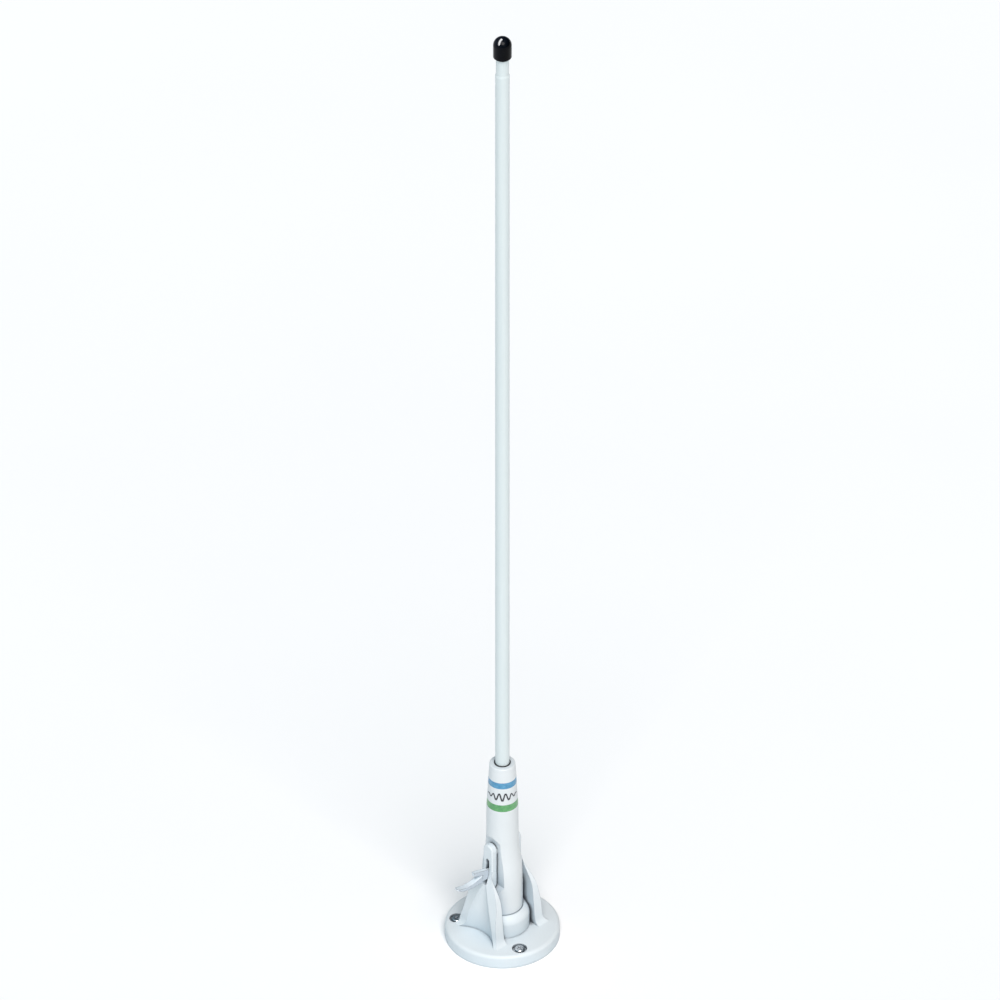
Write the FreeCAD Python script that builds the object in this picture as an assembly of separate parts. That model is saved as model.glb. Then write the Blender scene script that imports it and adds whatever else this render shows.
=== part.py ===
import FreeCAD
import Part
import math
import os

# Whip antenna on a fold-down deck mount, in millimetres. The origin is the centre of the flange's
# underside, where it meets the deck. +Z runs up the mast, X is the line of the pivot axle, and the
# clamp lever is on the -X side. The mast folds towards -Y, which is the front.

V = FreeCAD.Vector
X_AXIS = V(1, 0, 0)
Y_AXIS = V(0, 1, 0)
Z_AXIS = V(0, 0, 1)

# Driving dimensions
TOTAL_HEIGHT = 990.6
FLANGE_RADIUS = 50.8
DECK = 12.5  # the flange's thickness, and so the height of its top face
FLANGE_EDGE_RADIUS = 3.0
AXLE_Z = DECK + 88.0
CABLE_HOLE_RADIUS = 7.0

# Cheeks: outlines are (distance from the middle, height above the flange)
PLATE_INNER = 12.3
PLATE_OUTER = 17.8
PLATE_HALF_WIDTH = 5.8
CHEEK_TOP = 95.0
CHEEK_FRONT_CURVE = [
    (27.0, 0.0),
    (23.6, 2.4),
    (21.8, 9.0),
    (20.2, 26.0),
    (17.6, 43.0),
    (12.4, 52.5),
    (7.4, 60.0),
]
CHEEK_BACK_CURVE = [
    (32.0, 0.0),
    (28.0, 2.4),
    (24.6, 9.0),
    (19.6, 26.0),
    (16.0, 43.0),
    (11.0, 52.5),
    (7.0, 60.0),
]
CHEEK_SIDE_END = (PLATE_HALF_WIDTH, 69.0)
CHEEK_OUTER_CURVE = [(32.0, 0.0), (29.0, 3.0), (27.8, 12.0), (25.6, 34.0), (22.4, 50.0), (19.4, 61.0)]
CHEEK_OUTER_END = (PLATE_OUTER, 72.0)
LOWER_INNER = 18.8
RELIEF_START = 35.5  # distances from the axle
RELIEF_END = 45.5
CHEEK_EDGE_FILLET = 1.2
SCOOP_TOP = 56.0
SCOOP_WALL_TOP = 20.9
SCOOP_WALL_FOOT = 22.2
SCOOP_FOOT_RADIUS = 30.0
SCOOP_TIP_RADIUS = 1.2

# Slot for the lever, in the left cheek
SLOT_HALF_WIDTH = 1.95
SLOT_BOTTOM = 53.0
SLOT_TOP = 80.0

# Socket cup, open at the back
CUP_RADIUS = 24.0
CUP_LIP_RADIUS = 18.4
CUP_HEIGHT = 21.5
CUP_RIM_RADIUS = 19.3
CUP_SHOULDER = (22.6, 18.2)
CUP_STRAIGHT_TOP = 12.0
CUP_BACK = 20.0
LINER_RADIUS = 20.0
LINER_BOTTOM = 2.0
LINER_TOP = 15.0

# Deck screws
SCREW_CIRCLE_RADIUS = 40.5
SCREW_COUNT = 3
FIRST_SCREW_ANGLE = -111.0
THREAD_RADIUS = 2.4  # over the threads, below the deck face
SHANK_RADIUS = 2.1
WASHER_BORE = 2.55
SCREW_HOLE_RADIUS = 2.7
SCREW_REACH = 16.0  # below the deck face
SCREW_POINT = 4.0
POINT_RADIUS = 0.3
HEAD_RADIUS = 4.6
HEAD_HEIGHT = 2.6
RECESS_ARM = 2.6
RECESS_WIDTH = 0.9
RECESS_DEPTH = 1.4
WASHER_RADIUS = 5.6
WASHER_THICKNESS = 0.8
POCKET_RADIUS = 6.7
POCKET_DEPTH = 3.0

# Pivot axle and what runs on it
AXLE_RADIUS = 3.0
RUNNING_GAP = 0.05
AXLE_LEFT = -16.4
AXLE_HEAD_RADIUS = 4.2
AXLE_HEAD_HEIGHT = 2.0
AXLE_RECESS_RADIUS = 4.4
AXLE_RECESS_DEPTH = 3.0
AXLE_WASHER_THICKNESS = 0.8
AXLE_SLOT_WIDTH = 1.2
AXLE_SLOT_DEPTH = 1.1
BUSH_RADIUS = 4.5
THRUST_RADIUS = 5.8
THRUST_OUTER = 12.15

# Ferrule: heights above the flange
FERRULE_BOTTOM = 13.0
FERRULE_TOP = 179.0
FERRULE_FOOT_RADIUS = 18.0
FERRULE_FLARE = [(18.0, 56.0), (17.552, 67.0), (16.2, 78.0), (14.848, 89.0), (14.4, 100.0)]  # two arcs
FERRULE_WAIST = (14.1, 132.0)
FERRULE_TOP_RADIUS = 11.5
FERRULE_FOOT_CHAMFER = 1.0
FERRULE_LIP_ROUNDING = 1.2
FLAT_HALF = 11.1
FLAT_BOTTOM = 51.5
FLAT_RUNOUT = 41.0  # where the slope below the flat reaches the full radius
FLAT_TOP = 97.0
FLAT_LEAD_OUT = 103.5  # where the slope above the flat reaches the outside
UPPER_BORE_RADIUS = 6.35
UPPER_BORE_BOTTOM = 97.0
LOWER_BORE_RADIUS = 8.0
LOWER_BORE_TOP = 79.0
CABLE_CHANNEL = (5.6, 11.0)
CABLE_CHANNEL_HALF = 3.0
CABLE_CHANNEL_ENDS = (60.0, 116.0)
BAND_DEPTH = 0.5
BLUE_BAND = (158.4, 164.6)
GREEN_BAND = (134.0, 141.0)
SEAL_RADIUS = 7.4
SEAL_BOTTOM = 175.0
SEAL_TOP = 179.5
PLUG_TOP = 22.0
GROMMET_RADIUS = 4.6
COAX_RADIUS = 2.6
PAD_HALF_WIDTH = 3.2
PAD_ENDS = (52.5, 80.5)
PAD_OUTER = 12.2
PAD_INNER = 9.3

# Whip
TUBE_RADIUS = 6.35
TUBE_BORE_RADIUS = 4.6
TUBE_BOTTOM = 150.0
NECK_RADIUS = 5.7
NECK_LENGTH = 17.0
NECK_TAPER = 2.0
CAP_RADIUS = 8.2
CAP_LENGTH = 21.7
CAP_CHAMFER = 1.5
CAP_SOCKET = 12.0
RADIATOR_RADIUS = 1.0
SPACER_COUNT = 4
SPACER_THICKNESS = 6.0

# Inside the ferrule
GROUND_SLEEVE = (117.0, 122.0)
COIL_FORMER_RADIUS = 3.8
COIL_FORMER_BORE = 1.5
COIL = (125.0, 143.0)
COIL_WIRE = 1.4
COIL_TURNS = 8
INSERT_COLLAR = 146.0
INSERT_SPIGOT_TOP = 162.0
RADIATOR_SEAT = 154.0

# Clamp lever, in the slot: (x, height above the flange)
PIN_X = -15.0
PIN_HEIGHT = 65.0
PIN_RADIUS = 1.25
PIN_HALF_LENGTH = 5.2
CAM_RADIUS = 2.4
CAM_OFFSET = 0.3
CAM_ANGLE = -20.0
LEVER_HALF_WIDTH = 1.8
LEVER_PAD_HALF_WIDTH = 2.8
LEVER_PAD_START = -25.0
LEVER_UNDERSIDE = [
    (-15.5, 61.6),
    (-20.0, 60.0),
    (-30.0, 60.2),
    (-39.0, 60.0),
    (-48.0, 61.8),
    (-56.0, 65.8),
]
LEVER_TOPSIDE = [
    (-56.4, 67.2),
    (-47.5, 64.4),
    (-39.0, 63.8),
    (-30.0, 65.6),
    (-21.0, 67.4),
    (-15.5, 68.0),
]
SPUR = [(-18.0, 65.0), (-34.6, 69.6), (-35.6, 74.2), (-19.0, 69.8)]
SPUR_HALF_WIDTH = 1.8


def cylinder(radius, z0, z1, x=0.0, y=0.0):
    """Upright cylinder between two heights above the deck face."""
    return Part.makeCylinder(radius, z1 - z0, V(x, y, z0), Z_AXIS)


def ring(inner, outer, z0, z1, x=0.0, y=0.0):
    return cylinder(outer, z0, z1, x, y).cut(cylinder(inner, z0, z1, x, y))


def rod_x(radius, x0, x1, z=AXLE_Z):
    return Part.makeCylinder(radius, x1 - x0, V(x0, 0, z), X_AXIS)


def box(x0, x1, y0, y1, z0, z1):
    return Part.makeBox(x1 - x0, y1 - y0, z1 - z0, V(x0, y0, z0))


def revolved(points):
    """Solid of revolution about Z from a closed outline of (radius, height) points."""
    corners = [V(r, 0, z) for r, z in points]
    face = Part.Face(Part.makePolygon(corners + corners[:1]))
    return face.revolve(V(0, 0, 0), Z_AXIS, 360)


def curve_through(points):
    curve = Part.BSplineCurve()
    curve.interpolate(points)
    return curve.toShape()


def prism(edges, direction):
    return Part.Face(Part.Wire(Part.__sortEdges__(edges))).extrude(direction)


def mirrored_pair(shape):
    return [shape, shape.mirror(V(0, 0, 0), X_AXIS)]


def screw_places():
    angles = [math.radians(FIRST_SCREW_ANGLE + 360.0 * i / SCREW_COUNT) for i in range(SCREW_COUNT)]
    return [(SCREW_CIRCLE_RADIUS * math.cos(a), SCREW_CIRCLE_RADIUS * math.sin(a)) for a in angles]


def ferrule_radius(height):
    """Radius of the ferrule's straight upper cones, at a height above the flange."""
    low, high = FERRULE_FLARE[-1], FERRULE_WAIST
    if height > FERRULE_WAIST[1]:
        low, high = FERRULE_WAIST, (FERRULE_TOP_RADIUS, FERRULE_TOP)
    share = (height - low[1]) / (high[1] - low[1])
    return low[0] + share * (high[0] - low[0])


def cheek():
    """The right cheek: its side outline and its front outline, crossed."""
    start = -LOWER_INNER - 20.0
    back = [V(0, y, DECK + h) for y, h in CHEEK_BACK_CURVE + [CHEEK_SIDE_END]]
    front = [V(0, -y, DECK + h) for y, h in CHEEK_FRONT_CURVE + [CHEEK_SIDE_END]]
    shoulder = DECK + CHEEK_TOP - PLATE_HALF_WIDTH
    right, left = V(0, PLATE_HALF_WIDTH, shoulder), V(0, -PLATE_HALF_WIDTH, shoulder)
    side = prism(
        [
            curve_through(back),
            Part.makeLine(back[-1], right),
            Part.Arc(right, V(0, 0, DECK + CHEEK_TOP), left).toShape(),
            Part.makeLine(left, front[-1]),
            curve_through(front),
            Part.makeLine(front[0], back[0]),
        ],
        V(-start, 0, 0),
    )
    outer = [V(x, start, DECK + h) for x, h in CHEEK_OUTER_CURVE + [CHEEK_OUTER_END]]
    top_outer, top_inner = V(PLATE_OUTER, start, DECK + CHEEK_TOP), V(PLATE_INNER, start, DECK + CHEEK_TOP)
    foot_inner = V(PLATE_INNER, start, DECK)
    width = prism(
        [
            curve_through(outer),
            Part.makeLine(outer[-1], top_outer),
            Part.makeLine(top_outer, top_inner),
            Part.makeLine(top_inner, foot_inner),
            Part.makeLine(foot_inner, outer[0]),
        ],
        V(0, -2 * start, 0),
    )
    blank = side.common(width)
    rounded = [e for e in blank.Edges if on_plate_rim(e.BoundBox)]
    return blank.makeFillet(CHEEK_EDGE_FILLET, rounded).cut(swing_relief())


def on_plate_rim(bounds):
    """True for an edge that runs up or over the outer side of the upper plate."""
    high = bounds.ZMin > DECK + CHEEK_SIDE_END[1] - 1
    return high and bounds.XMin > PLATE_OUTER - 0.1 and bounds.ZLength > 1


def scoop():
    """Hollow in the cheek's outer side that widens from a point to the foot, like a pointed arch."""
    tip_centre = V(SCOOP_WALL_TOP + SCOOP_TIP_RADIUS, 0, DECK + SCOOP_TOP)
    foot_centre = V(SCOOP_WALL_FOOT + SCOOP_FOOT_RADIUS, 0, DECK)
    tip = Part.Wire([Part.makeCircle(SCOOP_TIP_RADIUS, tip_centre, Z_AXIS)])
    foot = Part.Wire([Part.makeCircle(SCOOP_FOOT_RADIUS, foot_centre, Z_AXIS)])
    return Part.makeLoft([foot, tip], True)


def swing_relief():
    """Room for the ferrule's foot. The plate stays as a rib near the axle, with a sloping end."""
    room = box(0, LOWER_INNER, -35, 35, DECK, DECK + CHEEK_SIDE_END[1])
    start = V(PLATE_INNER, 0, AXLE_Z)
    kept = Part.makeCone(RELIEF_START, RELIEF_END, LOWER_INNER - PLATE_INNER, start, X_AXIS)
    kept = kept.fuse(rod_x(RELIEF_START, -1, PLATE_INNER))
    rib = box(0, LOWER_INNER, -PLATE_HALF_WIDTH, PLATE_HALF_WIDTH, 0, AXLE_Z)
    return room.cut(kept.common(rib))


def cup_section():
    """Section of the socket's wall on the right, with a long rounded shoulder."""
    foot_in, foot_out = V(CUP_LIP_RADIUS, 0, DECK), V(CUP_RADIUS, 0, DECK)
    shoulder, rim = V(CUP_RADIUS, 0, DECK + CUP_STRAIGHT_TOP), V(CUP_RIM_RADIUS, 0, DECK + CUP_HEIGHT)
    lip = V(CUP_LIP_RADIUS, 0, DECK + CUP_HEIGHT)
    middle = V(CUP_SHOULDER[0], 0, DECK + CUP_SHOULDER[1])
    edges = [Part.makeLine(foot_in, foot_out), Part.makeLine(foot_out, shoulder)]
    edges.append(Part.Arc(shoulder, middle, rim).toShape())
    edges += [Part.makeLine(rim, lip), Part.makeLine(lip, foot_in)]
    return Part.Face(Part.Wire(edges))


def cup():
    """Socket wall: closed round the front, with straight sides that run to the open back."""
    front = cup_section().revolve(V(0, 0, 0), Z_AXIS, -180)
    sides = mirrored_pair(cup_section().extrude(V(0, CUP_BACK, 0)))
    return front.multiFuse(sides)


def liner_recess():
    room = cylinder(LINER_RADIUS, DECK + LINER_BOTTOM, DECK + LINER_TOP)
    return room.common(box(-FLANGE_RADIUS, FLANGE_RADIUS, -FLANGE_RADIUS, 0, 0, DECK + CUP_HEIGHT))


def base_mount():
    flange = cylinder(FLANGE_RADIUS, 0, DECK)
    flange = flange.makeFillet(FLANGE_EDGE_RADIUS, [e for e in flange.Edges if e.BoundBox.ZMin > DECK - 0.1])
    standing = cup().multiFuse(mirrored_pair(cheek())).cut(mirrored_pair(scoop()))
    body = flange.fuse(standing).removeSplitter()
    cuts = [cylinder(CABLE_HOLE_RADIUS, 0, DECK), liner_recess()]
    for x, y in screw_places():
        cuts.append(cylinder(SCREW_HOLE_RADIUS, 0, DECK, x, y))
        cuts.append(cylinder(POCKET_RADIUS, DECK - POCKET_DEPTH, DECK + CHEEK_TOP, x, y))
    cuts += lever_slot()
    cuts.append(rod_x(AXLE_RADIUS, AXLE_LEFT, PLATE_OUTER + 1))
    cuts.append(rod_x(AXLE_RECESS_RADIUS, PLATE_OUTER - AXLE_RECESS_DEPTH, PLATE_OUTER + 1))
    cuts.append(pin_blank())
    return body.cut(cuts)


def lever_slot():
    """Upright slot with round ends, through the left cheek."""
    half = SLOT_HALF_WIDTH
    low, high = DECK + SLOT_BOTTOM + half, DECK + SLOT_TOP - half
    outside, inside = -FLANGE_RADIUS, -PLATE_INNER + 1
    ends = [rod_x(half, outside, inside, low), rod_x(half, outside, inside, high)]
    return [box(outside, inside, -half, half, low, high)] + ends


def pin_blank():
    """The lever pin's bore, which opens at the back edge of the left cheek."""
    start = V(PIN_X, -PIN_HALF_LENGTH, DECK + PIN_HEIGHT)
    return Part.makeCylinder(PIN_RADIUS, PIN_HALF_LENGTH + 2 * PLATE_HALF_WIDTH, start, Y_AXIS)


def lever_pin():
    start = V(PIN_X, -PIN_HALF_LENGTH, DECK + PIN_HEIGHT)
    return Part.makeCylinder(PIN_RADIUS, 2 * PIN_HALF_LENGTH, start, Y_AXIS)


def socket_liner():
    return liner_recess().cut(cylinder(CUP_LIP_RADIUS, DECK, DECK + CUP_HEIGHT))


def deck_screws():
    seat = DECK - POCKET_DEPTH + WASHER_THICKNESS
    head_top = seat + HEAD_HEIGHT
    tip = -SCREW_REACH
    screws = []
    for x, y in screw_places():
        head = cylinder(HEAD_RADIUS, seat, head_top, x, y)
        head = head.makeFillet(HEAD_HEIGHT / 2, [e for e in head.Edges if e.BoundBox.ZMin > head_top - 0.1])
        shank = cylinder(SHANK_RADIUS, 0, seat, x, y)
        thread = cylinder(THREAD_RADIUS, tip, 0, x, y)
        point = Part.makeCone(POINT_RADIUS, THREAD_RADIUS, SCREW_POINT, V(x, y, tip - SCREW_POINT), Z_AXIS)
        floor, arm, half = head_top - RECESS_DEPTH, RECESS_ARM, RECESS_WIDTH / 2
        cross = box(x - arm, x + arm, y - half, y + half, floor, head_top).fuse(
            box(x - half, x + half, y - arm, y + arm, floor, head_top)
        )
        screws.append(head.multiFuse([shank, thread, point]).cut(cross))
    return Part.Compound(screws)


def screw_washers():
    z0 = DECK - POCKET_DEPTH
    z1 = z0 + WASHER_THICKNESS
    return Part.Compound([ring(WASHER_BORE, WASHER_RADIUS, z0, z1, x, y) for x, y in screw_places()])


def pivot_axle():
    under_head = PLATE_OUTER - AXLE_RECESS_DEPTH + AXLE_WASHER_THICKNESS
    outer = under_head + AXLE_HEAD_HEIGHT
    axle = rod_x(AXLE_RADIUS, AXLE_LEFT, under_head).fuse(rod_x(AXLE_HEAD_RADIUS, under_head, outer))
    half = AXLE_SLOT_WIDTH / 2
    return axle.cut(box(outer - AXLE_SLOT_DEPTH, outer, -10, 10, AXLE_Z - half, AXLE_Z + half))


def axle_washer():
    inner = PLATE_OUTER - AXLE_RECESS_DEPTH
    outer = inner + AXLE_WASHER_THICKNESS
    return rod_x(AXLE_HEAD_RADIUS, inner, outer).cut(rod_x(AXLE_RADIUS, inner, outer))


def axle_bush():
    bore = rod_x(AXLE_RADIUS + RUNNING_GAP, -FLAT_HALF, FLAT_HALF)
    return rod_x(BUSH_RADIUS, -FLAT_HALF, FLAT_HALF).cut(bore)


def thrust_washers():
    bore = rod_x(AXLE_RADIUS + RUNNING_GAP, FLAT_HALF, THRUST_OUTER)
    return Part.Compound(mirrored_pair(rod_x(THRUST_RADIUS, FLAT_HALF, THRUST_OUTER).cut(bore)))


def ferrule_blank():
    flare = [V(r, 0, DECK + h) for r, h in FERRULE_FLARE]
    lip = V(FERRULE_TOP_RADIUS, 0, DECK + FERRULE_TOP)
    waist = V(FERRULE_WAIST[0], 0, DECK + FERRULE_WAIST[1])
    foot = DECK + FERRULE_BOTTOM
    corners = [
        V(0, 0, lip.z),
        V(0, 0, foot),
        V(FERRULE_FOOT_RADIUS - FERRULE_FOOT_CHAMFER, 0, foot),
        V(FERRULE_FOOT_RADIUS, 0, foot + FERRULE_FOOT_CHAMFER),
        flare[0],
    ]
    edges = [Part.makeLine(a, b) for a, b in zip(corners, corners[1:])]
    edges += [Part.Arc(*flare[:3]).toShape(), Part.Arc(*flare[2:]).toShape()]
    edges += [Part.makeLine(flare[-1], waist), Part.makeLine(waist, lip)]
    edges.append(Part.makeLine(lip, corners[0]))
    blank = Part.Face(Part.Wire(edges)).revolve(V(0, 0, 0), Z_AXIS, 360)
    return blank.makeFillet(FERRULE_LIP_ROUNDING, [e for e in blank.Edges if e.BoundBox.ZMin > lip.z - 0.1])


def flat_cut():
    """What the right flat takes off the ferrule, with slopes that run out below and above it."""
    side = FERRULE_FOOT_RADIUS + 2
    lower = (FLAT_BOTTOM - FLAT_RUNOUT) / (FERRULE_FOOT_RADIUS - FLAT_HALF)
    upper = (FLAT_LEAD_OUT - FLAT_TOP) / (FERRULE_FLARE[-1][0] - FLAT_HALF)
    corners = [
        (FLAT_HALF, FLAT_TOP),
        (FLAT_HALF, FLAT_BOTTOM),
        (side, FLAT_BOTTOM - lower * (side - FLAT_HALF)),
        (side, FLAT_TOP + upper * (side - FLAT_HALF)),
    ]
    points = [V(x, -side, DECK + h) for x, h in corners]
    return Part.Face(Part.makePolygon(points + points[:1])).extrude(V(0, 2 * side, 0))


def ferrule():
    half = CABLE_CHANNEL_HALF
    channel_z = (DECK + CABLE_CHANNEL_ENDS[0], DECK + CABLE_CHANNEL_ENDS[1])
    cuts = mirrored_pair(flat_cut())
    cuts += [
        cylinder(UPPER_BORE_RADIUS, DECK + UPPER_BORE_BOTTOM, DECK + FERRULE_TOP),
        cylinder(LOWER_BORE_RADIUS, DECK + FERRULE_BOTTOM, DECK + LOWER_BORE_TOP),
        cylinder(SEAL_RADIUS, DECK + SEAL_BOTTOM, DECK + FERRULE_TOP),
        box(-half, half, *CABLE_CHANNEL, *channel_z),
        rod_x(BUSH_RADIUS, -FLAT_HALF, FLAT_HALF),
        friction_pad(),
        colour_band(BLUE_BAND),
        colour_band(GREEN_BAND),
    ]
    return ferrule_blank().cut(cuts)


def colour_band(span):
    """Ring that fills a shallow groove flush with the ferrule's taper, and bends with it at the waist."""
    heights = sorted([*span] + [h for h in [FERRULE_WAIST[1]] if span[0] < h < span[1]])
    outer = [(ferrule_radius(h), DECK + h) for h in heights]
    inner = min(r for r, z in outer) - BAND_DEPTH
    return revolved([(inner, outer[0][1])] + outer + [(inner, outer[-1][1])])


def friction_pad():
    """Strip of brake lining in the left flat, behind the lever's slot."""
    low, high = (DECK + h for h in PAD_ENDS)
    return box(-PAD_OUTER, -PAD_INNER, -PAD_HALF_WIDTH, PAD_HALF_WIDTH, low, high)


def seal_ring():
    return ring(TUBE_RADIUS, SEAL_RADIUS, DECK + SEAL_BOTTOM, DECK + SEAL_TOP)


def ferrule_plug():
    return ring(GROMMET_RADIUS, LOWER_BORE_RADIUS, DECK + FERRULE_BOTTOM + 1, DECK + PLUG_TOP)


def cable_grommet():
    return ring(COAX_RADIUS, GROMMET_RADIUS, DECK + FERRULE_BOTTOM, DECK + PLUG_TOP + 1)


def whip_tube():
    neck_top = TOTAL_HEIGHT - CAP_LENGTH + CAP_SOCKET
    neck_bottom = TOTAL_HEIGHT - CAP_LENGTH - NECK_LENGTH
    bottom = DECK + TUBE_BOTTOM
    return revolved(
        [
            (TUBE_BORE_RADIUS, bottom),
            (TUBE_RADIUS, bottom),
            (TUBE_RADIUS, neck_bottom - NECK_TAPER),
            (NECK_RADIUS, neck_bottom),
            (NECK_RADIUS, neck_top),
            (TUBE_BORE_RADIUS, neck_top),
        ]
    )


def tip_cap():
    z0 = TOTAL_HEIGHT - CAP_LENGTH
    dome_z = TOTAL_HEIGHT - CAP_RADIUS
    body = cylinder(CAP_RADIUS, z0, dome_z)
    body = body.makeChamfer(CAP_CHAMFER, [e for e in body.Edges if e.BoundBox.ZMax < z0 + 0.1])
    dome = Part.makeSphere(CAP_RADIUS, V(0, 0, dome_z))
    body = body.fuse(dome.common(cylinder(CAP_RADIUS + 1, dome_z, TOTAL_HEIGHT + 1))).removeSplitter()
    return body.cut(cylinder(NECK_RADIUS, z0, z0 + CAP_SOCKET))


def radiator():
    return cylinder(RADIATOR_RADIUS, DECK + RADIATOR_SEAT, TOTAL_HEIGHT - CAP_LENGTH)


def element_spacers():
    z0, z1 = DECK + INSERT_SPIGOT_TOP, TOTAL_HEIGHT - CAP_LENGTH - SPACER_THICKNESS
    heights = [z0 + (z1 - z0) * (i + 1) / SPACER_COUNT for i in range(SPACER_COUNT)]
    spacers = [ring(RADIATOR_RADIUS, TUBE_BORE_RADIUS, z, z + SPACER_THICKNESS) for z in heights]
    return Part.Compound(spacers)


def feed_insert():
    collar = cylinder(UPPER_BORE_RADIUS, DECK + INSERT_COLLAR, DECK + TUBE_BOTTOM)
    spigot = cylinder(TUBE_BORE_RADIUS, DECK + TUBE_BOTTOM, DECK + INSERT_SPIGOT_TOP)
    return collar.fuse(spigot).cut(cylinder(RADIATOR_RADIUS, DECK + RADIATOR_SEAT, DECK + INSERT_SPIGOT_TOP))


def coil_former():
    return ring(COIL_FORMER_BORE, COIL_FORMER_RADIUS, DECK + GROUND_SLEEVE[1], DECK + INSERT_COLLAR)


def loading_coil():
    """Wound wire, as a sleeve with one ridge for each turn."""
    z0, z1 = (DECK + h for h in COIL)
    pitch = (z1 - z0) / COIL_TURNS
    outline = [(COIL_FORMER_RADIUS, z0)]
    for turn in range(COIL_TURNS):
        outline.append((COIL_FORMER_RADIUS + COIL_WIRE / 2, z0 + turn * pitch))
        outline.append((COIL_FORMER_RADIUS + COIL_WIRE, z0 + (turn + 0.5) * pitch))
    outline += [(COIL_FORMER_RADIUS + COIL_WIRE / 2, z1), (COIL_FORMER_RADIUS, z1)]
    return revolved(outline)


def ground_sleeve():
    return ring(COAX_RADIUS, UPPER_BORE_RADIUS, DECK + GROUND_SLEEVE[0], DECK + GROUND_SLEEVE[1])


def clamp_lever():
    """Eccentric cam on the pin, a blade that widens into a thumb pad, and a short spur above it."""
    lower = [V(x, -LEVER_PAD_HALF_WIDTH, DECK + h) for x, h in LEVER_UNDERSIDE]
    upper = [V(x, -LEVER_PAD_HALF_WIDTH, DECK + h) for x, h in LEVER_TOPSIDE]
    blade = prism(
        [
            curve_through(lower),
            Part.makeLine(lower[-1], upper[0]),
            curve_through(upper),
            Part.makeLine(upper[-1], lower[0]),
        ],
        V(0, 2 * LEVER_PAD_HALF_WIDTH, 0),
    )
    blade = blade.common(lever_plan())
    spur_points = [V(x, -SPUR_HALF_WIDTH, DECK + h) for x, h in SPUR]
    spur_side = Part.Face(Part.makePolygon(spur_points + spur_points[:1]))
    spur = spur_side.extrude(V(0, 2 * SPUR_HALF_WIDTH, 0))
    angle = math.radians(CAM_ANGLE)
    cam_x = PIN_X + CAM_OFFSET * math.cos(angle)
    cam_z = DECK + PIN_HEIGHT + CAM_OFFSET * math.sin(angle)
    cam = Part.makeCylinder(CAM_RADIUS, 2 * LEVER_HALF_WIDTH, V(cam_x, -LEVER_HALF_WIDTH, cam_z), Y_AXIS)
    hole = Part.makeCylinder(PIN_RADIUS + RUNNING_GAP, 20, V(PIN_X, -10, DECK + PIN_HEIGHT), Y_AXIS)
    return blade.multiFuse([spur, cam]).removeSplitter().cut(hole)


def lever_plan():
    """The lever from above: as narrow as the slot at the root, with a rounded thumb pad at the outer end."""
    z0, z1 = DECK, DECK + CHEEK_TOP
    tip_x = LEVER_UNDERSIDE[-1][0]
    half, wide = LEVER_HALF_WIDTH, LEVER_PAD_HALF_WIDTH
    grow_end = LEVER_PAD_START - 2 * (wide - half)
    corners = [
        (0, -half),
        (LEVER_PAD_START, -half),
        (grow_end, -wide),
        (tip_x + wide, -wide),
        (tip_x + wide, wide),
        (grow_end, wide),
        (LEVER_PAD_START, half),
        (0, half),
    ]
    points = [V(x, y, z0) for x, y in corners]
    plan = Part.Face(Part.makePolygon(points + points[:1])).extrude(V(0, 0, z1 - z0))
    return plan.fuse(cylinder(wide, z0, z1, tip_x + wide, 0))


PARTS = {
    "base_mount": base_mount,
    "deck_screws": deck_screws,
    "screw_washers": screw_washers,
    "socket_liner": socket_liner,
    "pivot_axle": pivot_axle,
    "axle_washer": axle_washer,
    "lever_pin": lever_pin,
    "ferrule": ferrule,
    "axle_bush": axle_bush,
    "thrust_washers": thrust_washers,
    "friction_pad": friction_pad,
    "blue_band": lambda: colour_band(BLUE_BAND),
    "green_band": lambda: colour_band(GREEN_BAND),
    "seal_ring": seal_ring,
    "whip_tube": whip_tube,
    "tip_cap": tip_cap,
    "radiator": radiator,
    "element_spacers": element_spacers,
    "coil_former": coil_former,
    "loading_coil": loading_coil,
    "feed_insert": feed_insert,
    "ground_sleeve": ground_sleeve,
    "ferrule_plug": ferrule_plug,
    "cable_grommet": cable_grommet,
    "clamp_lever": clamp_lever,
}

os.makedirs("parts", exist_ok=True)
for node, make in PARTS.items():
    shape = make()
    shape.exportStep(f"parts/{node}.step")
    bounds = shape.BoundBox
    print(
        f"{node:16s} valid {shape.isValid()} solids {len(shape.Solids)} volume {shape.Volume:10.1f}"
        f"  x {bounds.XMin:.1f}..{bounds.XMax:.1f}  y {bounds.YMin:.1f}..{bounds.YMax:.1f}"
        f"  z {bounds.ZMin:.1f}..{bounds.ZMax:.1f}"
    )
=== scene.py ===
import bpy
import bmesh
import math
from mathutils import Matrix, Vector


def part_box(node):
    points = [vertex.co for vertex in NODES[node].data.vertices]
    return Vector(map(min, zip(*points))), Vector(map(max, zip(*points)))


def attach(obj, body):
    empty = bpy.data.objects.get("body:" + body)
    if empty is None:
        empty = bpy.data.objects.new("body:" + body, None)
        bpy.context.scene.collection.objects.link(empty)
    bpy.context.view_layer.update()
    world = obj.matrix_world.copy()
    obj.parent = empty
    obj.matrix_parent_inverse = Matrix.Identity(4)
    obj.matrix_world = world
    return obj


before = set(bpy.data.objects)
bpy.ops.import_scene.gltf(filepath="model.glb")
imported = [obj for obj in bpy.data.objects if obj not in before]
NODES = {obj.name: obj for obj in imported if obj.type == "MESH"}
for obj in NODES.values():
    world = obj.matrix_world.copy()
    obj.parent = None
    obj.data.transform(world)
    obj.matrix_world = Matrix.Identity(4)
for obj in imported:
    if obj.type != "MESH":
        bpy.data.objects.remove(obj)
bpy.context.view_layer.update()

# Lengths are in metres, angles in degrees and colours in linear RGB, unless a comment says otherwise.

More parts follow.
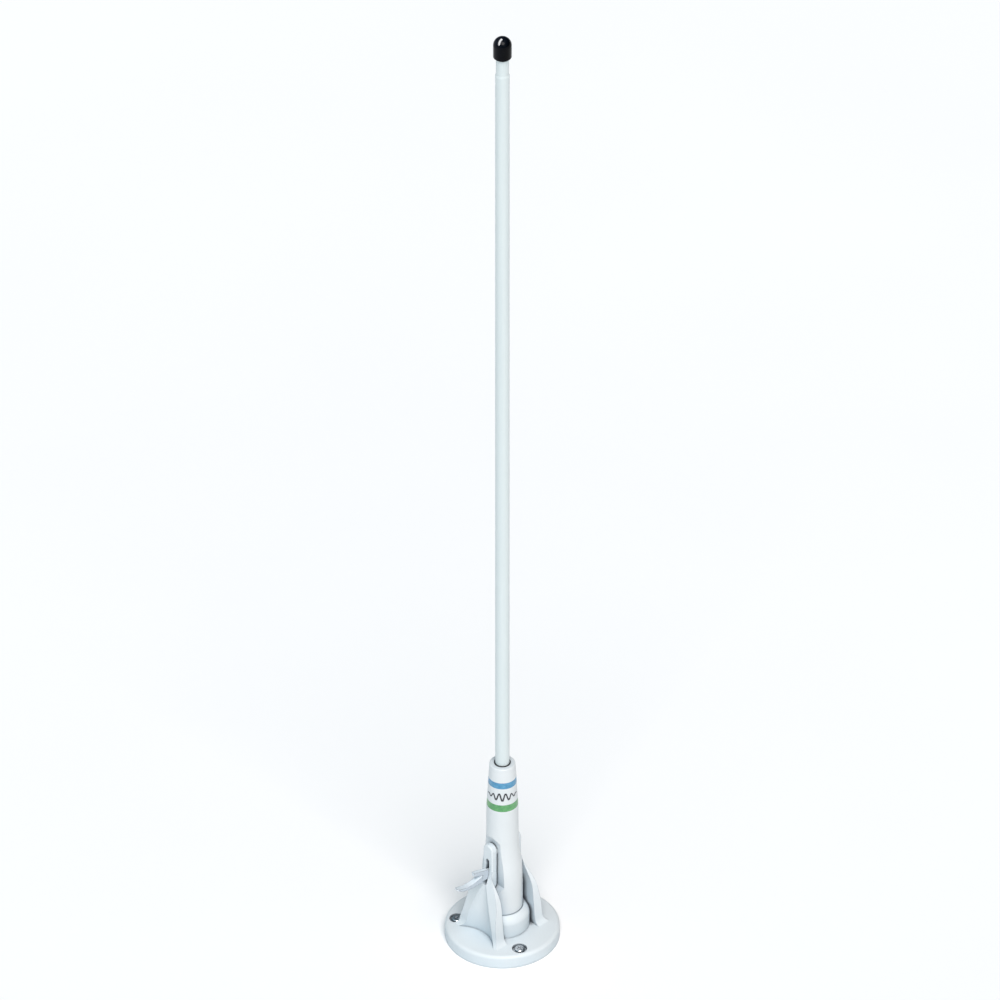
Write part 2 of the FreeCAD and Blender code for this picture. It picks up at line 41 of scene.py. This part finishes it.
# Camera: far away behind a very long lens, so that upright lines stay parallel
VIEW_AZIMUTH = -43.0
VIEW_ELEVATION = 37.6
CAMERA_DISTANCE = 38.0
FRAME_HEIGHT = 0.8836  # how much of the object's own plane the picture takes in
AIM_UP = 0.3728  # from the middle of the flange's top face to the middle of the picture
AIM_RIGHT = -0.0021
SENSOR = 36.0  # mm
RIM_SHARE = 0.92  # the flange's rim starts at this share of its radius

# Stage and light
FLOOR_SIZE = 80.0
WORLD_COLOUR = (0.60, 0.90, 1.08)
WORLD_TURN = 45.0  # anticlockwise from the camera's right to the way the surroundings darken
WORLD_BRIGHT = 0.52  # strength of the surroundings on the camera's side and its left
WORLD_DARK = 0.02  # and opposite
SUN_AZIMUTH = -33.0
SUN_ELEVATION = 55.0
SUN_COLOUR = (1.07, 1.0, 0.965)
SUN_STRENGTH = 3.05
SUN_SPREAD = 38.0

# A strip light that shows in the glossy cap alone. Its ways are (right, up, back) of the camera
SOFTBOX_WAY = (-0.485, 0.63, 0.606)
SOFTBOX_LONG_WAY = (0.5, 0.86, -0.5)
SOFTBOX_DISTANCE = 0.42
SOFTBOX_SIZE = (0.18, 0.75)
SOFTBOX_WATTS = 46.0

# The wave mark between the two bands of the ferrule
MARK_WAVES = 5.5
MARK_SWING = 0.0033
MARK_HALF_ANGLE = 70.0
MARK_LINE = 0.0013
MARK_PROUD = 0.00012
MARK_STEPS = 400
MARK_THIN = 0.35  # the line's width at both ends, as a share of its width in the middle

# Materials
SHADER_SAMPLES = 6  # of the occlusion and bevel nodes
CORNER_REACH = 0.03  # how far from a corner its shade spreads
GAP_REACH = 0.0055  # how wide a gap still gets painted shade
STAIN_TONE = 0.93  # a full stain's brightness, as a share of the open colour
# colour of the painted shade in gaps, slots and seams between parts
GAP_SHADE = (0.05, 0.06, 0.075)
# darker colour laid on in patches along sharp edges
EDGE_DARK_COLOUR = (0.14, 0.18, 0.22)
EDGE_SHADE_AND_WEAR_COLOUR = (0.03, 0.033, 0.04)  # dark lines along the lever's edges: painted edge shade, patchy like wear
MIX_COLOURS = (6, 7)  # places of a mix node's two colour inputs
MIX_RESULT = 2  # and of its colour output


def place_camera():
    azimuth, elevation = math.radians(VIEW_AZIMUTH), math.radians(VIEW_ELEVATION)
    flat = math.cos(elevation)
    back = Vector((math.sin(azimuth) * flat, -math.cos(azimuth) * flat, math.sin(elevation)))
    right = Vector((math.cos(azimuth), math.sin(azimuth), 0))
    up = back.cross(right)
    flange_top = Vector((0, 0, flange_top_height()))
    turn = Matrix((right, up, back)).transposed().to_4x4()
    turn.translation = flange_top + up * AIM_UP + right * AIM_RIGHT + back * CAMERA_DISTANCE
    camera = bpy.data.objects.new("camera", bpy.data.cameras.new("camera"))
    bpy.context.scene.collection.objects.link(camera)
    camera.matrix_world = turn
    camera.data.sensor_width = SENSOR
    camera.data.lens = SENSOR * CAMERA_DISTANCE / FRAME_HEIGHT
    camera.data.clip_end = CAMERA_DISTANCE + FLOOR_SIZE
    bpy.context.scene.camera = camera


def flange_top_height():
    """The highest level of the mount's rounded rim, found at its outer part."""
    mesh = NODES["base_mount"].data
    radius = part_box("base_mount")[1][0]
    return max(v.co.z for v in mesh.vertices if math.hypot(v.co.x, v.co.y) > RIM_SHARE * radius)


# Materials ---------------------------------------------------------------------------------------


class Graph:
    """A material's nodes, with short calls that add one node and link it."""

    def __init__(self, name):
        self.material = bpy.data.materials.new(name)
        self.material.use_nodes = True
        self.tree = self.material.node_tree
        self.shader = self.tree.nodes["Principled BSDF"]
        self.place = self.add("ShaderNodeTexCoord").outputs["Object"]

    def add(self, kind, **settings):
        node = self.tree.nodes.new(kind)
        for key, value in settings.items():
            setattr(node, key, value)
        return node

    def link(self, source, target):
        self.tree.links.new(source, target)

    def noise(self, size, detail=3.0, stretch=(1, 1, 1)):
        """Noise from 0 to 1 whose blotches are about size metres across."""
        mapping = self.add("ShaderNodeMapping")
        mapping.inputs["Scale"].default_value = [s / size for s in stretch]
        self.link(self.place, mapping.inputs["Vector"])
        node = self.add("ShaderNodeTexNoise")
        node.inputs["Scale"].default_value = 1.0
        node.inputs["Detail"].default_value = detail
        self.link(mapping.outputs["Vector"], node.inputs["Vector"])
        return node.outputs["Fac"]

    def span(self, value, low, high, source_low=0.3, source_high=0.7):
        """value, moved from its source range to low..high and held there."""
        node = self.add("ShaderNodeMapRange")
        node.inputs["From Min"].default_value = source_low
        node.inputs["From Max"].default_value = source_high
        node.inputs["To Min"].default_value = low
        node.inputs["To Max"].default_value = high
        self.link(value, node.inputs["Value"])
        return node.outputs["Result"]

    def mix(self, amount, first, second):
        """Colour between first and second, each an RGB tuple or a socket."""
        node = self.add("ShaderNodeMix", data_type="RGBA")
        self.link(amount, node.inputs["Factor"])
        for place, colour in zip(MIX_COLOURS, (first, second)):
            socket = node.inputs[place]
            if isinstance(colour, tuple):
                socket.default_value = (*colour, 1.0)
            else:
                self.link(colour, socket)
        return node.outputs[MIX_RESULT]

    def bump(self, height, strength, depth, normal=None):
        node = self.add("ShaderNodeBump")
        node.inputs["Strength"].default_value = strength
        node.inputs["Distance"].default_value = depth
        self.link(height, node.inputs["Height"])
        if normal is not None:
            self.link(normal, node.inputs["Normal"])
        return node.outputs["Normal"]

    def soft_edges(self, radius):
        node = self.add("ShaderNodeBevel", samples=SHADER_SAMPLES)
        node.inputs["Radius"].default_value = radius
        return node.outputs["Normal"]

    def sharp_edge_mask(self, radius, low, high):
        """1 along sharp outer and inner edges, where a rounded normal leaves the true one."""
        rounded = self.soft_edges(radius)
        true = self.add("ShaderNodeNewGeometry").outputs["Normal"]
        dot = self.add("ShaderNodeVectorMath", operation="DOT_PRODUCT")
        self.link(rounded, dot.inputs[0])
        self.link(true, dot.inputs[1])
        return self.span(dot.outputs["Value"], 1.0, 0.0, low, high)

    def crevice(self, distance):
        """1 in the open and less in corners."""
        node = self.add("ShaderNodeAmbientOcclusion", samples=SHADER_SAMPLES)
        node.inputs["Distance"].default_value = distance
        return node.outputs["AO"]

    def product(self, first, second):
        node = self.add("ShaderNodeMath", operation="MULTIPLY")
        self.link(first, node.inputs[0])
        self.link(second, node.inputs[1])
        return node.outputs[0]

    def shade(self, colour, roughness, normal, **settings):
        """Joins the textures to the shader, sets its plain values and returns the material."""
        self.link(colour, self.shader.inputs["Base Color"])
        self.link(roughness, self.shader.inputs["Roughness"])
        self.link(normal, self.shader.inputs["Normal"])
        for key, value in settings.items():
            self.shader.inputs[key.replace("_", " ")].default_value = value
        return self.material


def moulded_white(name, open_colour, shade_colour, grain, roughness, coat, edge_dark):
    """White plastic: painted shade in corners and in gaps, darker sharp edges, blotches and a moulding
    grain.
    """
    g = Graph(name)
    corner = g.span(g.crevice(CORNER_REACH), 0.0, 1.0, source_low=0.25, source_high=0.95)
    base = g.mix(corner, shade_colour, open_colour)
    stain = tuple(c * STAIN_TONE for c in open_colour)
    stained = g.mix(g.span(g.noise(size=0.028, detail=4.0), 0.0, 0.5), base, stain)
    # darker along sharp edges, in patches
    patchy = g.span(g.noise(size=0.007, detail=4.0), 0.3 * edge_dark, edge_dark, source_low=0.4, source_high=0.6)
    before_gap_shade = g.mix(g.product(g.sharp_edge_mask(radius=0.0006, low=0.84, high=0.98), patchy), stained, EDGE_DARK_COLOUR)
    # painted shade: darker in gaps, slots and seams between parts, where little light reaches
    gap = g.span(g.crevice(GAP_REACH), 0.0, 1.0, source_low=0.26, source_high=0.6)
    dull = g.span(g.noise(size=0.006, detail=5.0), roughness - 0.05, roughness + 0.07)
    rounded = g.soft_edges(radius=0.0006)
    waves = g.bump(g.noise(size=0.011, detail=2.0), strength=0.12, depth=0.0004, normal=rounded)
    skin = g.bump(g.noise(grain, detail=2.0), strength=0.16, depth=0.00008, normal=waves)
    return g.shade(g.mix(gap, GAP_SHADE, before_gap_shade), dull, skin, Coat_Weight=coat, Coat_Roughness=0.2, IOR=1.4)


def glass_fibre_tube():
    """Gloss white paint over glass fibre, with long faint streaks that run up the tube."""
    g = Graph("glass_fibre_white")
    streak = g.span(g.noise(size=0.0035, stretch=(1, 1, 0.02)), 0.0, 0.45)
    colour = g.mix(streak, (0.66, 0.72, 0.72), (0.585, 0.655, 0.665))
    dull = g.span(g.noise(size=0.003, stretch=(1, 1, 0.01)), 0.27, 0.33)
    skin = g.bump(g.noise(size=0.0018, detail=2.0, stretch=(1, 1, 0.01)), strength=0.05, depth=0.00003)
    return g.shade(colour, dull, skin, Coat_Weight=0.12, Coat_Roughness=0.15, IOR=1.42)


def painted_ring(name, colour, deep):
    """Printed band: uneven ink with a thin gloss."""
    g = Graph(name)
    ink = g.mix(g.span(g.noise(size=0.003, detail=4.0), 0.0, 1.0), colour, deep)
    dull = g.span(g.noise(size=0.002), 0.26, 0.4)
    skin = g.bump(g.noise(size=0.0007, detail=2.0), strength=0.1, depth=0.00005)
    return g.shade(ink, dull, skin, Coat_Weight=0.35, Coat_Roughness=0.15)


def black_vinyl():
    """Dipped glossy black cap with a faint ripple and a little dust."""
    g = Graph("black_vinyl")
    dust = g.span(g.noise(size=0.004, detail=5.0), 0.0, 0.3, source_low=0.5, source_high=0.8)
    colour = g.mix(dust, (0.0002, 0.0003, 0.0006), (0.003, 0.0033, 0.004))
    dull = g.span(g.noise(size=0.003, detail=4.0), 0.10, 0.17)
    ripple = g.bump(g.noise(size=0.005, detail=1.0), strength=0.12, depth=0.0002)
    return g.shade(colour, dull, ripple, IOR=1.18)


def rubber():
    """Black rubber with a grey bloom."""
    g = Graph("rubber_black")
    bloom = g.span(g.noise(size=0.005, detail=5.0), 0.0, 0.6)
    colour = g.mix(bloom, (0.016, 0.016, 0.017), (0.05, 0.05, 0.052))
    dull = g.span(g.noise(size=0.002), 0.62, 0.82)
    return g.shade(colour, dull, g.bump(g.noise(size=0.0008), strength=0.3, depth=0.0001))


def metal(name, colour, tarnish, roughness, stretch):
    """Worked metal: fine drawn lines along one way, darker where it is tarnished."""
    g = Graph(name)
    patch = g.span(g.noise(size=0.003, detail=5.0), 0.0, 1.0)
    lines = g.noise(size=0.0004, stretch=stretch)
    dull = g.span(lines, roughness - 0.08, roughness + 0.12)
    drawn = g.bump(lines, strength=0.15, depth=0.00003, normal=g.soft_edges(radius=0.0002))
    return g.shade(g.mix(patch, colour, tarnish), dull, drawn, Metallic=1.0)


def enamelled_lever():
    """White enamel on a zinc casting, with painted shade that makes its side faces greyer and dark lines
    of painted shade along its edges, patchy like chipped enamel.
    """
    g = Graph("lever_enamel")
    tone = g.span(g.noise(size=0.006, detail=4.0), 0.0, 0.6)
    enamel = g.mix(tone, (0.73, 0.79, 0.83), (0.63, 0.71, 0.77))
    patchy = g.span(g.noise(size=0.004, detail=4.0), 0.35, 1.0, source_low=0.4, source_high=0.56)
    # dark lines along sharp edges: painted edge shade, patchy like worn enamel
    edge_shade_and_wear = g.product(g.sharp_edge_mask(radius=0.0009, low=0.8, high=0.97), patchy)
    # painted shade: the side faces are greyer and darker, as if turned away from the light
    sides = g.add("ShaderNodeSeparateXYZ")
    g.link(g.add("ShaderNodeTexCoord").outputs["Normal"], sides.inputs[0])
    across = g.add("ShaderNodeMath", operation="ABSOLUTE")
    g.link(sides.outputs["Y"], across.inputs[0])
    side_shade = g.span(across.outputs[0], 0.0, 1.0, source_low=0.72, source_high=0.9)
    mottle = g.span(g.noise(size=0.0015, detail=4.0), 0.0, 1.0)
    painted = g.mix(side_shade, enamel, g.mix(mottle, (0.44, 0.50, 0.56), (0.52, 0.58, 0.64)))
    dull = g.span(g.noise(size=0.002, detail=4.0), 0.32, 0.45)
    rounded = g.soft_edges(radius=0.0004)
    skin = g.bump(g.noise(size=0.003, detail=2.0), strength=0.1, depth=0.00008, normal=rounded)
    return g.shade(g.mix(edge_shade_and_wear, painted, EDGE_SHADE_AND_WEAR_COLOUR), dull, skin, Coat_Weight=0.2, Coat_Roughness=0.15)


def stage_floor():
    """Matt pale floor with a faint change of tone."""
    g = Graph("stage_floor")
    tone = g.span(g.noise(size=0.4, detail=2.0), 0.0, 1.0)
    colour = g.mix(tone, (0.96, 0.96, 0.96), (0.975, 0.975, 0.975))
    g.link(colour, g.shader.inputs["Base Color"])
    g.shader.inputs["Roughness"].default_value = 0.9
    return g.material


def dress_nodes():
    """Gives every CAD node one material. A node with no finish of its own is bearing plastic."""
    nylon = moulded_white(
        "white_nylon", (0.70, 0.745, 0.765), (0.49, 0.58, 0.64),
        grain=0.0016, roughness=0.46, coat=0.03, edge_dark=0.75,
    )
    ferrule = moulded_white(
        "white_gloss", (0.70, 0.73, 0.74), (0.40, 0.50, 0.58),
        grain=0.0018, roughness=0.38, coat=0.1, edge_dark=0.3,
    )
    bearing = moulded_white(
        "bearing_plastic", (0.72, 0.76, 0.76), (0.42, 0.46, 0.48),
        grain=0.0004, roughness=0.48, coat=0.0, edge_dark=0.3,
    )
    steel = metal("stainless", (0.78, 0.79, 0.81), (0.62, 0.63, 0.65), roughness=0.3, stretch=(1, 0.1, 1))
    brass = metal("brass", (0.80, 0.58, 0.25), (0.60, 0.42, 0.17), roughness=0.3, stretch=(1, 1, 0.1))
    black_rubber = rubber()
    finish = {
        "base_mount": nylon,
        "ferrule": ferrule,
        "whip_tube": glass_fibre_tube(),
        "tip_cap": black_vinyl(),
        "blue_band": painted_ring("blue_ink", (0.10, 0.33, 0.53), (0.04, 0.22, 0.40)),
        "green_band": painted_ring("green_ink", (0.13, 0.38, 0.14), (0.06, 0.27, 0.09)),
        "clamp_lever": enamelled_lever(),
        "socket_liner": black_rubber,
        "friction_pad": black_rubber,
        "seal_ring": black_rubber,
        "cable_grommet": black_rubber,
    }
    for node in ("deck_screws", "screw_washers", "pivot_axle", "axle_washer", "lever_pin"):
        finish[node] = steel
    for node in ("radiator", "loading_coil", "feed_insert", "ground_sleeve"):
        finish[node] = brass
    for node in NODES:
        NODES[node].data.materials.clear()
        NODES[node].data.materials.append(finish.get(node, bearing))


# Pieces ------------------------------------------------------------------------------------------


def ferrule_radius_at(height):
    """Radius of the ferrule at a height, between its two bands."""
    low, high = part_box("green_band"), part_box("blue_band")
    share = (height - low[1][2]) / (high[0][2] - low[1][2])
    return low[1][0] + share * (high[1][0] - low[1][0])


def wave_mark():
    """Plain ink wave between the bands: a thin raised ribbon that follows the ferrule's cone."""
    middle = (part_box("green_band")[1][2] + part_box("blue_band")[0][2]) / 2
    half = math.radians(MARK_HALF_ANGLE)
    facing = math.radians(VIEW_AZIMUTH - 90.0)
    turns_per_metre = MARK_WAVES * 2 * math.pi / (2 * half * ferrule_radius_at(middle))
    mesh = bmesh.new()
    rows = []
    for step in range(MARK_STEPS + 1):
        share = step / MARK_STEPS
        angle = facing + (2 * share - 1) * half
        phase = share * MARK_WAVES * 2 * math.pi
        fade = math.sin(math.pi * share)
        centre = middle + MARK_SWING * math.sin(phase) * fade
        steepness = math.cos(phase) * fade * MARK_SWING * turns_per_metre
        width = MARK_LINE * (MARK_THIN + (1 - MARK_THIN) * fade)
        line = width * math.hypot(1, steepness)
        row = []
        for level, proud in ((-1, 0), (-1, 1), (1, 1), (1, 0)):
            z = centre + level * line / 2
            radius = ferrule_radius_at(z) + (MARK_PROUD if proud else -MARK_PROUD)
            row.append(mesh.verts.new((radius * math.cos(angle), radius * math.sin(angle), z)))
        rows.append(row)
    for first, second in zip(rows, rows[1:]):
        for i in range(4):
            j = (i + 1) % 4
            mesh.faces.new((first[i], first[j], second[j], second[i]))
    mesh.faces.new(rows[0])
    mesh.faces.new(list(reversed(rows[-1])))
    bmesh.ops.recalc_face_normals(mesh, faces=mesh.faces)
    data = bpy.data.meshes.new("wave_mark")
    mesh.to_mesh(data)
    mesh.free()
    data.materials.append(painted_ring("black_ink", (0.012, 0.013, 0.016), (0.03, 0.03, 0.035)))
    mark = bpy.data.objects.new("wave_mark", data)
    bpy.context.scene.collection.objects.link(mark)
    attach(mark, "mast")


# Stage -------------------------------------------------------------------------------------------


def stage():
    half = FLOOR_SIZE / 2
    data = bpy.data.meshes.new("floor")
    corners = [(-half, -half, 0), (half, -half, 0), (half, half, 0), (-half, half, 0)]
    data.from_pydata(corners, [], [(0, 1, 2, 3)])
    data.materials.append(stage_floor())
    floor = bpy.data.objects.new("floor", data)
    bpy.context.scene.collection.objects.link(floor)
    studio_world()
    bpy.context.scene.view_settings.view_transform = "Standard"


def studio_world():
    """Cool surroundings, brightest on the camera's side and its left."""
    world = bpy.data.worlds.new("studio")
    world.use_nodes = True
    tree = world.node_tree
    azimuth = math.radians(VIEW_AZIMUTH + WORLD_TURN)
    place = tree.nodes.new("ShaderNodeTexCoord")
    dot = tree.nodes.new("ShaderNodeVectorMath")
    dot.operation = "DOT_PRODUCT"
    dot.inputs[1].default_value = (math.cos(azimuth), math.sin(azimuth), 0.0)
    strength = tree.nodes.new("ShaderNodeMapRange")
    strength.inputs["From Min"].default_value = -1.0
    strength.inputs["From Max"].default_value = 1.0
    strength.inputs["To Min"].default_value = WORLD_BRIGHT
    strength.inputs["To Max"].default_value = WORLD_DARK
    background = tree.nodes["Background"]
    background.inputs["Color"].default_value = (*WORLD_COLOUR, 1.0)
    tree.links.new(place.outputs["Generated"], dot.inputs[0])
    tree.links.new(dot.outputs["Value"], strength.inputs["Value"])
    tree.links.new(strength.outputs["Result"], background.inputs["Strength"])
    bpy.context.scene.world = world


def softbox():
    """Puts a long thin reflection on the cap, from its top down to its left. It lights nothing else."""
    cap_low, cap_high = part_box("tip_cap")
    middle = (Vector(cap_low) + Vector(cap_high)) / 2
    axes = bpy.context.scene.camera.matrix_world.to_3x3()
    towards = (axes @ Vector(SOFTBOX_WAY)).normalized()
    light = bpy.data.lights.new("softbox", "AREA")
    light.shape = "RECTANGLE"
    light.size, light.size_y = SOFTBOX_SIZE
    light.energy = SOFTBOX_WATTS
    lamp = bpy.data.objects.new("softbox", light)
    bpy.context.scene.collection.objects.link(lamp)
    lamp.visible_camera = False
    across = (axes @ Vector(SOFTBOX_LONG_WAY)).cross(towards).normalized()
    turn = Matrix((across, towards.cross(across), towards)).transposed().to_4x4()
    turn.translation = middle + towards * SOFTBOX_DISTANCE
    lamp.matrix_world = turn
    lit = bpy.data.collections.new("softbox_lights")
    lit.objects.link(NODES["tip_cap"])
    lamp.light_linking.receiver_collection = lit


def soft_sun():
    light = bpy.data.lights.new("sun", "SUN")
    light.energy = SUN_STRENGTH
    light.angle = math.radians(SUN_SPREAD)
    light.color = SUN_COLOUR
    lamp = bpy.data.objects.new("sun", light)
    bpy.context.scene.collection.objects.link(lamp)
    azimuth, elevation = math.radians(SUN_AZIMUTH), math.radians(SUN_ELEVATION)
    flat = math.cos(elevation)
    towards = Vector((math.sin(azimuth) * flat, -math.cos(azimuth) * flat, math.sin(elevation)))
    lamp.rotation_mode = "QUATERNION"
    lamp.rotation_quaternion = towards.to_track_quat("Z", "Y")


place_camera()
dress_nodes()
wave_mark()
stage()
soft_sun()
softbox()
